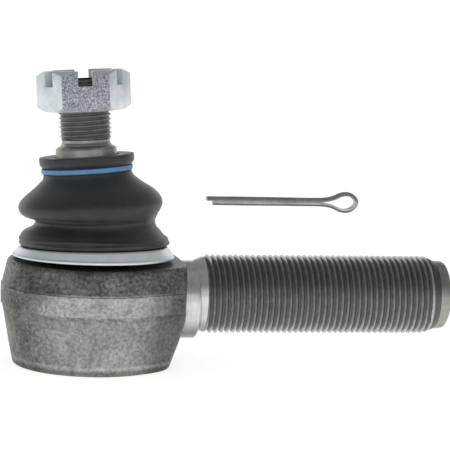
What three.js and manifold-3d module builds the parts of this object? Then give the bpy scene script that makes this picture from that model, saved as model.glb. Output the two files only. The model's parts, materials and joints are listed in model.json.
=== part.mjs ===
// Tie rod end: a forged eye with a threaded shank, a ball stud in two seats, a dust boot, a castle nut
// and its split pin. Millimetres, +Z up. The origin is the middle of the base under the ball, +X runs
// along the shank to its end, and the stud leans back from it, towards -X and a little +Y, at rest.
import * as THREE from "three";
import { mergeVertices } from "three/addons/utils/BufferGeometryUtils.js";
import Module from "manifold-3d";

const wasm = await Module();
wasm.setup();

const degrees = THREE.MathUtils.degToRad;

// ---- Driving dimensions ----
const fit = 0.3; // gap between pieces that touch or run on each other
const coarse = 28; // segments round a turned piece
const fine = 48; // segments round the eye

// Ball joint
const ballRadius = 16;
const maxLean = degrees(25); // largest lean of the stud from upright
const swingGap = 0.8; // between the fully leaned stud and the mouth of the eye
const restLean = degrees(4.4);
const leanHeading = degrees(151); // compass direction of the rest lean, from +X towards +Y
const seatWall = 3;
const seatWrap = degrees(27.8); // how far the upper seat wraps over the ball, above its centre
const seatLipBand = 0.6;
const lowerSeatWrap = degrees(39.93); // how far the lower seat reaches down the ball
const lowerSeatBand = 1.54; // plain bore below that

// Eye of the housing
const eyeRadius = 30.6; // over the parting band
const mouthWall = 3; // least thickness of the eye over the upper seat
const bandHeight = 6.7;
const bandStep = 0.3;
const eyeTopRadius = 28.6;
const eyeBottomRadius = 26.2;
const eyeEdge = 0.8; // chamfer on the top and bottom edges
const shoulderReach = 29.8; // where the forging stops and the turned neck begins, from the ball axis
const taperOff = degrees(67); // angle from +X at which the eye starts to draw out towards the neck
const footShare = 0.35; // share of that drawing out that is left at the base

// Closure in the base
const rolledLip = 1.8;
const rolledLipReach = 1.3; // how far the rolled lip holds the closure plate's edge
const closureLedge = 2.6; // how far the closure plate seats outside the cavity
const closureWall = 2.2;
const closureDishRadius = 12;
const closureDishSlope = 2.5;
const sealSection = 0.65; // radius of the seal ring's section
const pressurePlateWall = 1.6;
const springWall = 1.2;
const springHeight = 4.7;

// Neck and shank
const neckRadius = 13.2;
const neckDrop = 1.8; // forged neck sits below the thread's axis
const neckReach = 34.4;
const neckEndLength = 1.4; // of the chamfer on the end of the neck
const neckEndDepth = 2.2;
const collarRadius = 11.3; // small end of the cone that rises from the neck to the thread
const collarTopRadius = 12.9;
const collarStart = 33.5;
const shankDiameter = 27;
const shankPitch = 2;
const threadStart = 37;
const threadEnd = 114.4;
const threadChamfer = 4.1; // length of the chamfer from the thread down to the nose
const noseRadius = 11.7;
const noseRound = 3; // radius of the rounded corner at the end
const shankEnd = 122.3;

// Stud, by height above the ball centre
const studNeckRadius = 9;
const studNeckTop = 20;
const taperBase = 25;
const taperTop = 49.1;
const taperTopRadius = 10.1;
const taperSlope = 0.05; // radius gained for each millimetre below the small end
const reliefRadius = 8;
const studDiameter = 18;
const studPitch = 1.5;
const studThreadStart = 51.4;
const studEnd = 71.7;
const pinHoleRadius = 2;
const pinHoleInset = 5.5; // centre of the cross hole below the end of the stud
const studEndChamfer = 1.5;

// Castle nut
const nutAcrossFlats = 27;
const nutHeight = 13.3;
const nutTopOverStud = 2.8;
const nutChamfer = degrees(30);
const nutTurn = degrees(-4.8);
const countersink = 0.8; // depth at each end of the bore
const slotCount = 6;
const slotWidth = 4.7;
const slotDepth = 5;

// Dust boot, by height above the ball centre
const bootWall = 2.2;
const lipRadius = 15.8;
const lipTop = 46.3;
const lipHeight = 3.6;
const ringGroove = 2.1; // height of the groove under the lip
const grooveRadius = 14.4;
const topRingRadius = 15.25;
const bootBulgeRadius = 23.9;
const bootWaistRadius = 20.1;
const bootLobeRadius = 24.9;
const bendStart = 19; // the boot follows its clamp ring below this and the stud above bendEnd
const lipCock = degrees(1.2); // the lip and its ring lean this much further than the stud

// Clamp ring over the foot of the boot
const clampBaseRadius = 27.1;
const clampFlare = 2.4; // how much narrower the ring's top is
const clampHeight = 4.4;
const clampWall = 1.2;
const clampTilt = degrees(1.6); // the -Y side sits a little proud

// Split pin, laid out above the shank
const pinStart = 37.8;
const pinEyeEnd = 90.9;
const pinHeight = 55.2;
const pinRadius = 1.5;
const pinLegLag = 2.1; // the lower leg is this much shorter
const pinEyeLength = 12;
const pinEyeHalfHeight = 2.1; // of the hole in the eye
const pinHalfGap = 0.15; // between each leg and the middle of the pin

// ---- Derived sizes ----
const seatRadius = ballRadius + fit;
const seatOuter = seatRadius + seatWall;
const seatLip = seatRadius * Math.sin(seatWrap);
const seatTop = seatLip + seatLipBand;
const lowerSeatBore = seatRadius * Math.cos(lowerSeatWrap);
const lowerSeatDepth = seatRadius * Math.sin(lowerSeatWrap) + lowerSeatBand;
const cavityRadius = seatOuter + fit;
const closureRadius = cavityRadius + closureLedge;
const rolledLipRadius = closureRadius - rolledLipReach;
const recessRadius = closureRadius + fit;
const closureBase = rolledLip + fit;
const closureTop = closureBase + closureWall;
const sealHeight = closureTop + fit + sealSection;
const cavityFloor = sealHeight + sealSection + fit;
const springBase = closureTop + fit;
const springTop = springBase + springHeight;
const pressurePlateBase = springTop + fit;
const pressurePlateTop = pressurePlateBase + pressurePlateWall;
const ballHeight = pressurePlateTop + fit + lowerSeatDepth; // also the height of the shank's axis
const cavityTop = ballHeight + seatTop + fit;
const neckTop = ballHeight + neckRadius - neckDrop;
const eyeHeight = Math.max(cavityTop + mouthWall, neckTop);
const threadRadius = shankDiameter / 2;
const studThreadRadius = studDiameter / 2;
const nutTop = studEnd + nutTopOverStud;
const nutBase = nutTop - nutHeight;
const clampTopRadius = clampBaseRadius - clampFlare;
const lipBase = lipTop - lipHeight;
const grooveBase = lipBase - ringGroove;
const bendEnd = grooveBase;
const ballCentre = new THREE.Vector3(0, 0, ballHeight);
const leanAxis = new THREE.Vector3(-Math.sin(leanHeading), Math.cos(leanHeading), 0);

// Radius that the ball and the fully leaned neck of the stud need, at a height above the ball centre.
function mouthRadius(height) {
  const ball = Math.sqrt(Math.max(ballRadius ** 2 - height ** 2, 0));
  const neck = height * Math.tan(maxLean) + studNeckRadius / Math.cos(maxLean);
  return Math.max(ball, neck) + swingGap;
}

const taperRadius = (height) => taperTopRadius + taperSlope * (taperTop - height);

// ---- Solids ----
// A body of revolution about +Z. The profile is [radius, height] points, up the outside.
function turned(profile, segments = coarse) {
  const points = profile.map(([radius, height]) => new THREE.Vector2(radius, height));
  return new THREE.LatheGeometry(points, segments).rotateX(Math.PI / 2);
}

function turnedRing(profile, segments = coarse) {
  return turned([...profile, profile[0]], segments);
}

// Points of an arc about [centreRadius, centreHeight], angles in radians from outwards to upwards.
function arc([centreRadius, centreHeight], radius, from, to, steps) {
  return Array.from({ length: steps + 1 }, (_, i) => {
    const angle = from + ((to - from) * i) / steps;
    return [centreRadius + radius * Math.cos(angle), centreHeight + radius * Math.sin(angle)];
  });
}

function toSolid(geometry) {
  const bare = geometry.clone();
  bare.deleteAttribute("normal");
  bare.deleteAttribute("uv");
  const merged = mergeVertices(bare, 1e-3);
  const triVerts = new Uint32Array(merged.index.array);
  const vertProperties = merged.attributes.position.array;
  return new wasm.Manifold(new wasm.Mesh({ numProp: 3, vertProperties, triVerts }));
}

function toGeometry(solid) {
  const mesh = solid.getMesh();
  const geometry = new THREE.BufferGeometry();
  geometry.setAttribute("position", new THREE.BufferAttribute(mesh.vertProperties, 3));
  geometry.setIndex(new THREE.BufferAttribute(mesh.triVerts, 1));
  return geometry;
}

// Lays a body of revolution along +X, at the height of the shank.
function alongShank(geometry, drop = 0) {
  return geometry.rotateY(Math.PI / 2).translate(0, 0, ballHeight - drop);
}

// A right-hand screw thread about +Z from height 0 to length, with one sharp crest for each pitch.
// Its rows of vertices follow the helix; rows past either end gather on the end faces.
function threadedRod(crestRadius, pitch, length, segments = 20) {
  const rootRadius = crestRadius - 0.6134 * pitch;
  const rows = Math.ceil((2 * length) / pitch) + 4;
  const vertices = [];
  for (let row = 0; row <= rows; row++)
    for (let i = 0; i <= segments; i++) {
      const turn = i / segments;
      const height = (row / 2 - 1 + turn) * pitch - pitch / 2;
      const inside = height > 0 && height < length;
      const radius = inside && row % 2 ? crestRadius : rootRadius;
      const angle = 2 * Math.PI * turn;
      const level = THREE.MathUtils.clamp(height, 0, length);
      vertices.push(radius * Math.cos(angle), radius * Math.sin(angle), level);
    }
  const index = [];
  const corner = (row, i) => row * (segments + 1) + i;
  for (let row = 0; row < rows; row++)
    for (let i = 0; i < segments; i++) {
      index.push(corner(row, i), corner(row, i + 1), corner(row + 1, i));
      index.push(corner(row, i + 1), corner(row + 1, i + 1), corner(row + 1, i));
    }
  const bottom = vertices.length / 3;
  vertices.push(0, 0, 0, 0, 0, length);
  for (let i = 0; i < segments; i++) {
    index.push(bottom, corner(0, i + 1), corner(0, i));
    index.push(bottom + 1, corner(rows, i), corner(rows, i + 1));
  }
  const sheet = new THREE.BufferGeometry();
  sheet.setAttribute("position", new THREE.Float32BufferAttribute(vertices, 3));
  sheet.setIndex(index);
  const merged = mergeVertices(sheet, 1e-3);
  const kept = [];
  for (let i = 0; i < merged.index.count; i += 3) {
    const [a, b, c] = merged.index.array.slice(i, i + 3);
    if (a !== b && b !== c && c !== a) kept.push(a, b, c);
  }
  return merged.setIndex(kept);
}

function piece(name, geometry, { color, roughness, metalness }) {
  const flat = geometry.index ? geometry.toNonIndexed() : geometry;
  flat.computeVertexNormals();
  const mesh = new THREE.Mesh(
    flat,
    new THREE.MeshStandardMaterial({ color, roughness, metalness }),
  );
  mesh.name = name;
  return mesh;
}

// ---- Materials ----
const forgedSteel = { color: 0x6a6863, roughness: 0.55, metalness: 0.85 };
const turnedSteel = { color: 0x8b8880, roughness: 0.35, metalness: 1 };
const springSteel = { color: 0x5c5d60, roughness: 0.45, metalness: 1 };
const zincPlate = { color: 0xb9c4ca, roughness: 0.4, metalness: 0.9 };
const blackRubber = { color: 0x26282c, roughness: 0.6, metalness: 0 };
const bluePlastic = { color: 0x4f84bd, roughness: 0.45, metalness: 0 };
const seatPlastic = { color: 0xe4dfcf, roughness: 0.5, metalness: 0 };

// ---- Housing: eye, neck and threaded shank in one forging ----
// The eye is drawn out towards the neck on the +X side, less so at the base.
function drawOutToNeck(geometry) {
  const position = geometry.getAttribute("position");
  for (let i = 0; i < position.count; i++) {
    const [x, y, z] = [position.getX(i), position.getY(i), position.getZ(i)];
    const radius = Math.hypot(x, y);
    const angle = Math.abs(Math.atan2(y, x));
    if (radius < recessRadius + fit || angle > taperOff) continue;
    const rise = THREE.MathUtils.clamp(z / (ballHeight - bandHeight), 0, 1);
    const reach = THREE.MathUtils.lerp(eyeBottomRadius, shoulderReach, Math.sqrt(rise));
    const side = radius / Math.cos(taperOff - angle);
    const drawn = Math.min(side, Math.max(radius, reach / Math.cos(angle)));
    const share = THREE.MathUtils.lerp(footShare, 1, rise);
    const stretch = THREE.MathUtils.lerp(radius, drawn, share) / radius;
    position.setXY(i, x * stretch, y * stretch);
  }
  return geometry;
}

function makeEye() {
  const bandTop = ballHeight + bandHeight / 2;
  const bandBottom = ballHeight - bandHeight / 2;
  const profile = [
    [rolledLipRadius, 0],
    [eyeBottomRadius - eyeEdge, 0],
    [eyeBottomRadius, eyeEdge],
    [(eyeBottomRadius + eyeRadius - bandStep) / 2, (eyeEdge + bandBottom) / 2],
    [eyeRadius - bandStep, bandBottom],
    [eyeRadius, bandBottom + bandStep],
    [eyeRadius, bandTop - bandStep],
    [eyeRadius - bandStep, bandTop],
    [eyeTopRadius, eyeHeight - eyeEdge],
    [eyeTopRadius - eyeEdge, eyeHeight],
    [mouthRadius(eyeHeight - ballHeight), eyeHeight],
    [mouthRadius(cavityTop - ballHeight), cavityTop],
    [cavityRadius, cavityTop],
    [cavityRadius, cavityFloor],
    [recessRadius, cavityFloor],
    [recessRadius, rolledLip],
    [rolledLipRadius, rolledLip],
  ];
  return drawOutToNeck(turnedRing(profile, fine));
}

function makeShank() {
  const rootInWall = (cavityRadius + eyeTopRadius) / 2;
  const neck = turned([
    [0, rootInWall],
    [neckRadius, rootInWall],
    [neckRadius, neckReach],
    [neckRadius - neckEndDepth, neckReach + neckEndLength],
    [0, neckReach + neckEndLength],
  ]);
  const collar = turned([
    [0, rootInWall],
    [collarRadius, rootInWall],
    [collarRadius, collarStart],
    [collarTopRadius, threadStart + fit],
    [0, threadStart + fit],
  ]);
  const noseStart = threadEnd + threadChamfer;
  const rodLength = noseStart - threadStart;
  const rod = threadedRod(threadRadius, shankPitch, rodLength).translate(0, 0, threadStart);
  const beyond = 1;
  const envelope = turned([
    [0, threadStart - beyond],
    [collarTopRadius - beyond, threadStart - beyond],
    [threadRadius + fit, threadStart + shankPitch],
    [threadRadius + fit, threadEnd],
    [noseRadius, noseStart + fit],
    [0, noseStart + fit],
  ]);
  const nose = turned([
    [0, threadEnd],
    [noseRadius, threadEnd],
    ...arc([noseRadius - noseRound, shankEnd - noseRound], noseRound, 0, Math.PI / 2, 4),
    [0, shankEnd],
  ]);
  const threaded = toSolid(alongShank(rod)).intersect(toSolid(alongShank(envelope)));
  const lead = toSolid(alongShank(neck, neckDrop)).add(toSolid(alongShank(collar)));
  return lead.add(threaded).add(toSolid(alongShank(nose)));
}

const housing = piece("housing", toGeometry(toSolid(makeEye()).add(makeShank())), forgedSteel);

// ---- Ball stud ----
function makeStud() {
  const neckMeetsBall = Math.acos(studNeckRadius / ballRadius);
  const reliefTop = studThreadStart;
  const blank = turned([
    [0, -ballRadius * Math.sin(degrees(70))],
    ...arc([0, 0], ballRadius, degrees(-70), neckMeetsBall, 12),
    [studNeckRadius, studNeckTop],
    [taperRadius(taperBase) - 0.6, taperBase - 1],
    [taperRadius(taperBase), taperBase],
    [taperTopRadius, taperTop - 0.5],
    [taperTopRadius - 0.5, taperTop],
    [reliefRadius + 0.4, taperTop + 0.4],
    [reliefRadius, taperTop + 1.2],
    [reliefRadius, reliefTop],
    [reliefRadius - 0.4, reliefTop + studPitch],
    [0, reliefTop + studPitch],
  ]);
  const length = studEnd - studThreadStart;
  const rod = threadedRod(studThreadRadius, studPitch, length).translate(0, 0, studThreadStart);
  const envelope = turned([
    [0, studThreadStart - 1],
    [reliefRadius - 0.6, studThreadStart - 1],
    [studThreadRadius + fit, studThreadStart + 1],
    [studThreadRadius + fit, studEnd - studEndChamfer],
    [studThreadRadius + fit - studEndChamfer, studEnd],
    [0, studEnd],
  ]);
  const pinHole = new THREE.CylinderGeometry(pinHoleRadius, pinHoleRadius, 3 * studDiameter, 16);
  pinHole.translate(0, 0, studEnd - pinHoleInset);
  const thread = toSolid(rod).intersect(toSolid(envelope));
  return toSolid(blank).add(thread).subtract(toSolid(pinHole));
}

const ballStud = piece("ball_stud", toGeometry(makeStud()), turnedSteel);

// ---- Seats, spring and closure ----
const seatTopBore = mouthRadius(seatTop) + fit;
const upperSeat = piece(
  "upper_ball_seat",
  turnedRing([
    [seatRadius, fit],
    [seatOuter, fit],
    [seatOuter, seatTop],
    [seatTopBore, seatTop],
    ...arc([0, 0], seatRadius, Math.asin(seatLip / seatRadius), Math.asin(fit / seatRadius), 5),
  ]).translate(0, 0, ballHeight),
  seatPlastic,
);

const lowerArcStart = Math.asin(-fit / seatRadius);
const lowerArcEnd = -Math.acos(lowerSeatBore / seatRadius);
const lowerSeat = piece(
  "lower_ball_seat",
  turnedRing([
    [lowerSeatBore, -lowerSeatDepth],
    [seatOuter, -lowerSeatDepth],
    [seatOuter, -fit],
    ...arc([0, 0], seatRadius, lowerArcStart, lowerArcEnd, 6),
  ]).translate(0, 0, ballHeight),
  seatPlastic,
);

const pressurePlate = piece(
  "pressure_plate",
  turnedRing([
    [lowerSeatBore - fit, pressurePlateBase],
    [seatOuter, pressurePlateBase],
    [seatOuter, pressurePlateTop],
    [lowerSeatBore - fit, pressurePlateTop],
  ]),
  springSteel,
);

const discSpring = piece(
  "disc_spring",
  turnedRing([
    [seatOuter - 1.5, springBase],
    [seatOuter - 0.7, springBase + springWall],
    [lowerSeatBore + 1, springTop],
    [lowerSeatBore + 0.2, springTop - springWall],
  ]),
  springSteel,
);

const dishEdge = closureDishRadius + closureDishSlope;
const closurePlate = piece(
  "closure_plate",
  turned([
    [0, 0],
    [closureDishRadius, 0],
    [dishEdge, closureBase],
    [closureRadius, closureBase],
    [closureRadius, closureTop],
    [dishEdge - 0.7, closureTop],
    [closureDishRadius - 0.7, closureWall],
    [0, closureWall],
  ]),
  forgedSteel,
);

const sealRadius = recessRadius - fit - sealSection;
const sealRing = piece(
  "closure_seal_ring",
  turned(arc([sealRadius, sealHeight], sealSection, 0, 2 * Math.PI, 8)),
  blackRubber,
);

// ---- Clamp ring and dust boot ----
const clampLean = new THREE.Quaternion().setFromEuler(new THREE.Euler(-clampTilt, 0, 0));
const clampSeat = eyeHeight + fit + clampBaseRadius * Math.sin(clampTilt);
const clampRing = piece(
  "boot_clamp_ring",
  turnedRing(
    [
      [clampBaseRadius - clampWall, 0],
      [clampBaseRadius, 0],
      [clampBaseRadius - 0.2, 0.8],
      [clampTopRadius + 0.4, clampHeight - 0.5],
      [clampTopRadius, clampHeight],
      [clampTopRadius - clampWall, clampHeight],
    ],
    fine,
  ),
  zincPlate,
);
clampRing.position.z = clampSeat;
clampRing.quaternion.copy(clampLean);

// The foot follows the tilt of its clamp ring and the lip follows the stud, a little cocked. Between
// them each vertex takes the share of both that its height gives.
const clampPivot = clampSeat - ballHeight;

function bendWithStud(geometry) {
  const position = geometry.getAttribute("position");
  const point = new THREE.Vector3();
  for (let i = 0; i < position.count; i++) {
    point.fromBufferAttribute(position, i);
    const share = THREE.MathUtils.smoothstep(point.z, bendStart, bendEnd);
    const footTurn = new THREE.Quaternion().slerp(clampLean, 1 - share);
    point.setZ(point.z - clampPivot).applyQuaternion(footTurn);
    point.setZ(point.z + clampPivot - lipBase).applyAxisAngle(leanAxis, lipCock * share);
    point.setZ(point.z + lipBase).applyAxisAngle(leanAxis, restLean * share).add(ballCentre);
    position.setXYZ(i, point.x, point.y, point.z);
  }
  return geometry;
}

function makeBoot() {
  const foot = clampPivot;
  const lobeBase = foot + clampHeight + fit;
  const footRadius = clampTopRadius - clampWall - fit;
  const span = grooveBase - lobeBase;
  const outside = new THREE.SplineCurve(
    [
      [bootLobeRadius, 0.03],
      [bootLobeRadius - 0.8, 0.12],
      [bootWaistRadius + 1.4, 0.23],
      [bootWaistRadius, 0.31],
      [bootWaistRadius + 2, 0.4],
      [bootBulgeRadius, 0.52],
      [bootBulgeRadius - 2, 0.69],
      [grooveRadius + 2.9, 0.86],
      [grooveRadius + 0.5, 1],
    ].map(([radius, share]) => new THREE.Vector2(radius, lobeBase + share * span)),
  );
  const skin = outside.getPoints(15).map((point) => [point.x, point.y]);
  const lining = skin.slice(1, -2).map(([radius, height]) => [radius - bootWall, height]).reverse();
  const bore = taperRadius(grooveBase) + fit;
  return bendWithStud(
    turnedRing([
      [footRadius - bootWall - 1, foot],
      [footRadius, foot],
      [footRadius, lobeBase],
      ...skin,
      [grooveRadius, grooveBase + 0.1],
      [grooveRadius, lipBase],
      [lipRadius - 0.6, lipBase + 0.3],
      [lipRadius, lipBase + 1.3],
      [lipRadius, lipTop - 0.3],
      [lipRadius - 0.3, lipTop],
      [bore, lipTop],
      [bore, grooveBase],
      ...lining,
      [footRadius - bootWall - 1, lobeBase],
    ]),
  );
}

const dustBoot = piece("dust_boot", makeBoot(), blackRubber);

const topRingHeight = ringGroove - 2 * fit;
const topRing = piece(
  "boot_top_ring",
  turnedRing(
    [
      [grooveRadius + fit, 0],
      [topRingRadius - 0.25, 0],
      [topRingRadius, 0.3],
      [topRingRadius, topRingHeight - 0.3],
      [topRingRadius - 0.25, topRingHeight],
      [grooveRadius + fit, topRingHeight],
    ],
    fine,
  ),
  bluePlastic,
);
topRing.position.z = -topRingHeight - fit;

// ---- Castle nut ----
function makeNut() {
  const cornerRadius = nutAcrossFlats / 2 / Math.cos(Math.PI / 6);
  const faceRadius = nutAcrossFlats / 2 - 0.4;
  const chamferDrop = (cornerRadius + fit - faceRadius) * Math.tan(nutChamfer);
  const hexagon = new THREE.CylinderGeometry(cornerRadius, cornerRadius, nutHeight, 6);
  hexagon.rotateX(Math.PI / 2).rotateZ(Math.PI / 6).translate(0, 0, nutHeight / 2);
  const chamfers = turned([
    [0, 0],
    [faceRadius, 0],
    [cornerRadius + fit, chamferDrop],
    [cornerRadius + fit, nutHeight - chamferDrop],
    [faceRadius, nutHeight],
    [0, nutHeight],
  ]);
  const boreRadius = studThreadRadius + fit;
  const bore = turned([
    [0, -1],
    [boreRadius + countersink + 1, -1],
    [boreRadius, countersink],
    [boreRadius, nutHeight - countersink],
    [boreRadius + countersink + 1, nutHeight + 1],
    [0, nutHeight + 1],
  ]);
  let nut = toSolid(hexagon).intersect(toSolid(chamfers)).subtract(toSolid(bore));
  for (let i = 0; i < slotCount / 2; i++) {
    const slot = new THREE.BoxGeometry(slotWidth, 3 * nutAcrossFlats, 2 * slotDepth);
    slot.translate(0, 0, nutHeight).rotateZ((2 * Math.PI * i) / slotCount);
    nut = nut.subtract(toSolid(slot));
  }
  return nut;
}

const castleNut = piece("castle_nut", toGeometry(makeNut()), zincPlate);
castleNut.position.z = nutBase;
castleNut.rotation.z = nutTurn;

// ---- Split pin: one half-round wire, doubled back round its eye ----
function makeSplitPin() {
  const eyeStart = pinEyeEnd - pinEyeLength;
  const eyeTip = pinEyeEnd - pinRadius;
  const eye = [
    [eyeStart + 0.2 * pinEyeLength, 0.44],
    [eyeStart + 0.4 * pinEyeLength, 0.88],
    [eyeStart + 0.6 * pinEyeLength, 1],
    [eyeStart + 0.79 * pinEyeLength, 0.68],
  ];
  const at = (x, rise) => new THREE.Vector3(x, 0, rise * pinEyeHalfHeight);
  const route = new THREE.CatmullRomCurve3(
    [
      at(pinStart, 0),
      at((pinStart + eyeStart) / 2, 0),
      at(eyeStart - 1, 0),
      at(eyeStart, 0.02),
      ...eye.map(([x, rise]) => at(x, rise)),
      at(eyeTip, 0),
      ...eye.map(([x, rise]) => at(x, -rise)).reverse(),
      at(eyeStart, -0.02),
      at(eyeStart - 1, 0),
      at((pinStart + eyeStart) / 2, 0),
      at(pinStart + pinLegLag, 0),
    ],
    false,
    "centripetal",
  );
  const sweep = Math.acos(pinHalfGap / pinRadius);
  const section = new THREE.Shape(
    arc([0, 0], pinRadius, Math.PI - sweep, Math.PI + sweep, 6).map(([x, y]) => new THREE.Vector2(x, y)),
  );
  const settings = { steps: 72, curveSegments: 1, bevelEnabled: false, extrudePath: route };
  return new THREE.ExtrudeGeometry(section, settings).translate(0, 0, pinHeight);
}

const splitPin = piece("split_pin", makeSplitPin(), turnedSteel);

// ---- Assembly ----
const onStud = new THREE.Group();
onStud.position.copy(ballCentre);
onStud.setRotationFromAxisAngle(leanAxis, restLean);
const underLip = new THREE.Group();
underLip.position.z = lipBase;
underLip.setRotationFromAxisAngle(leanAxis, lipCock);
underLip.add(topRing);
onStud.add(ballStud, castleNut, underLip);

const tieRodEnd = new THREE.Group();
tieRodEnd.add(housing, upperSeat, lowerSeat, pressurePlate, discSpring, closurePlate, sealRing);
tieRodEnd.add(clampRing, dustBoot, onStud, splitPin);

export default tieRodEnd;
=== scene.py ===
"""Looks for the tie rod end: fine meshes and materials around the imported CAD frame.

Lengths are in millimetres until mesh_object() turns them into metres. Heights on the stud and
on the boot are counted from the ball centre, along the stud's own axis.
"""

import json
import math

import bmesh
import bpy
import numpy as np
from mathutils import Euler, Matrix, Quaternion, Vector, noise


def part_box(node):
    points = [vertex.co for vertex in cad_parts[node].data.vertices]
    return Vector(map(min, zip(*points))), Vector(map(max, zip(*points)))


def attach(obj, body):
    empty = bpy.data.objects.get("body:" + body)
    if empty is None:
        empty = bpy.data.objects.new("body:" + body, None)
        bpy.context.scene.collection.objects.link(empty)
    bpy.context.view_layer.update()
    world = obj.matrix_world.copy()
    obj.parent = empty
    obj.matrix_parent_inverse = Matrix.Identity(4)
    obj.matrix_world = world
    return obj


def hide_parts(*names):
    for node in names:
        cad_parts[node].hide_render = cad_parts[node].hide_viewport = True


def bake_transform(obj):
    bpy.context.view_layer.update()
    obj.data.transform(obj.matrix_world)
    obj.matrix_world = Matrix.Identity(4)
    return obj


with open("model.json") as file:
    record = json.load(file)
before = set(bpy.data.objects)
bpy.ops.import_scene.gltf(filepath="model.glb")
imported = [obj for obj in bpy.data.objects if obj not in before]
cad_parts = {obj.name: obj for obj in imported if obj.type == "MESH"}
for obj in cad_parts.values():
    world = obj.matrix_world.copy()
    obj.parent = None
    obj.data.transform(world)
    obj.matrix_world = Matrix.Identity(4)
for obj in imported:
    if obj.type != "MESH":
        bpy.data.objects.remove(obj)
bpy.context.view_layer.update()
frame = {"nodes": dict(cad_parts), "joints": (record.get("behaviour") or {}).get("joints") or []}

MM = 0.001
TAU = 2 * math.pi
ROUND = 128  # segments round a plain turned piece
JOINTS = {joint["name"]: joint for joint in frame["joints"]}


def node_box(node):
    """Lowest and highest corners of a CAD node, in millimetres."""
    low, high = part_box(node)
    return low / MM, high / MM


# ---- Sizes from the frame ----
HOUSING_LOW, HOUSING_HIGH = node_box("housing")
BALL = Vector(JOINTS["stud_lean"]["pos_m"]) / MM
LEAN_AXIS = Vector(JOINTS["stud_lean"]["axis"]).normalized()
STUD_AXIS = Vector(JOINTS["stud_spin"]["axis"]).normalized()
REST_LEAN = math.acos(STUD_AXIS.z)
EYE_RADIUS = -HOUSING_LOW.x
SHANK_END = HOUSING_HIGH.x
THREAD_RADIUS = HOUSING_HIGH.z - BALL.z
CLAMP_RADIUS = node_box("boot_clamp_ring")[1].x
PIN_LOW, PIN_HIGH = node_box("split_pin")

# ---- Sizes of the housing ----
EYE_HEIGHT = 35.0
EYE_TOP_RADIUS = 28.6
EYE_BOTTOM_RADIUS = 26.2
BAND_HEIGHT = 6.7
BAND_STEP = 0.3
# Angles round the eye are in degrees from +X
BAND_PROUD, BAND_PROUD_MIDDLE, BAND_PROUD_HALF = 0.15, 200, 39
STAMP_DEPTH, STAMP_MIDDLE, STAMP_HALF_ANGLE, STAMP_HALF_HEIGHT = 0.35, 284, 4.3, 1.9
MOUTH_RADIUS = 16.1
CAVITY_RADIUS = 19.6
CAVITY_TOP = 32.0
CAVITY_FLOOR = 6.2
RECESS_RADIUS = 22.5
ROLLED_LIP = 1.8
ROLLED_LIP_RADIUS = 20.9
CLOSURE_RADIUS = 22.2
CLOSURE_LOW, CLOSURE_HIGH = 2.1, 4.3  # of its rim, behind the rolled lip
CLOSURE_GROUND = 0.02
CLOSURE_THICKNESS = 2.2
SHOULDER_REACH = 29.8
TAPER_OFF = math.radians(67)  # half the angle over which the eye is drawn out to the neck
FOOT_SHARE = 0.35  # of the drawing out, left at the base
CORNER_POWER = 12  # how tightly the drawn sides turn into the shoulder
NECK_RADIUS = 13.2
NECK_DROP = 1.8
NECK_REACH = 34.4
COLLAR_START = 33.5
COLLAR_RADIUS = 11.3
COLLAR_TOP_RADIUS = 12.95
SHANK_PITCH = 2.0
THREAD_START = 37.0
THREAD_END = 114.4
THREAD_CHAMFER = 4.1
RUN_OUT_DEPTH = 1.35  # of the shank's thread where it starts
NOSE_RADIUS = 11.7

# ---- Sizes of the stud and what sits on it ----
BALL_RADIUS = 16.0
BALL_FLAT = math.radians(-70)  # elevation at which the ball's flat bottom starts
STUD_NECK_RADIUS = 9.0
STUD_NECK_TOP = 20
TAPER_START = 25
TAPER_TOP = 49.1
TAPER_TOP_RADIUS = 10.1
TAPER_SLOPE = 0.05
RELIEF_RADIUS = 8.0
STUD_THREAD_RADIUS = 9.0
STUD_PITCH = 1.5
STUD_THREAD_START = 51.4
STUD_END = 71.7
STUD_CHAMFER = 1.3
NUT_ACROSS_FLATS = 27.0
NUT_HEIGHT = 13.3
NUT_TOP = STUD_END + 2.8
NUT_TURN = math.radians(-4.8)  # about the stud, at rest
SLOT_WIDTH = 4.7
SLOT_DEPTH = 5.0
NUT_CHAMFER = math.radians(30)
NUT_FACE_INSET = 0.35  # the round face inside the flats
NUT_COUNTERSINK = 1.9
NUT_BORE_GAP = 0.05
TOP_RING_LOW, TOP_RING_HIGH = 40.95, 42.55
TOP_RING_INNER, TOP_RING_OUTER = 14.6, 15.25

# ---- Sizes of the boot and its clamp ring ----
CLAMP_RING_HEIGHT = 3.3
CLAMP_RING_GAP = 0.3  # over the top of the eye
CLAMP_RING_LEAN = math.radians(1.6)  # towards the back
LIP_BASE = 42.7  # underside of the boot's lip on the stud
LIP_TOP = 46.3
LIP_RADIUS = 15.8
LIP_COCK = math.radians(1.2)
GROOVE_LOW, GROOVE_HIGH, GROOVE_RADIUS = 40.7, 42.65, 14.45  # the blue ring sits in it
LIP_BORE_GAP = 0.25
BOOT_WALL = 1.2
FOOT_LOW, FOOT_HIGH = 12.9, 16.1
FOOT_INNER, FOOT_OUTER = 20.0, 22.4
BEND_START, BEND_END = 19.0, 40.0

# ---- Sizes of the split pin ----
WIRE_RADIUS = 1.5
WIRE_GAP = 0.12  # half the gap between the two legs
PIN_EYE_LENGTH = 12.6
PIN_EYE_HALF = 2.05

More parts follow.
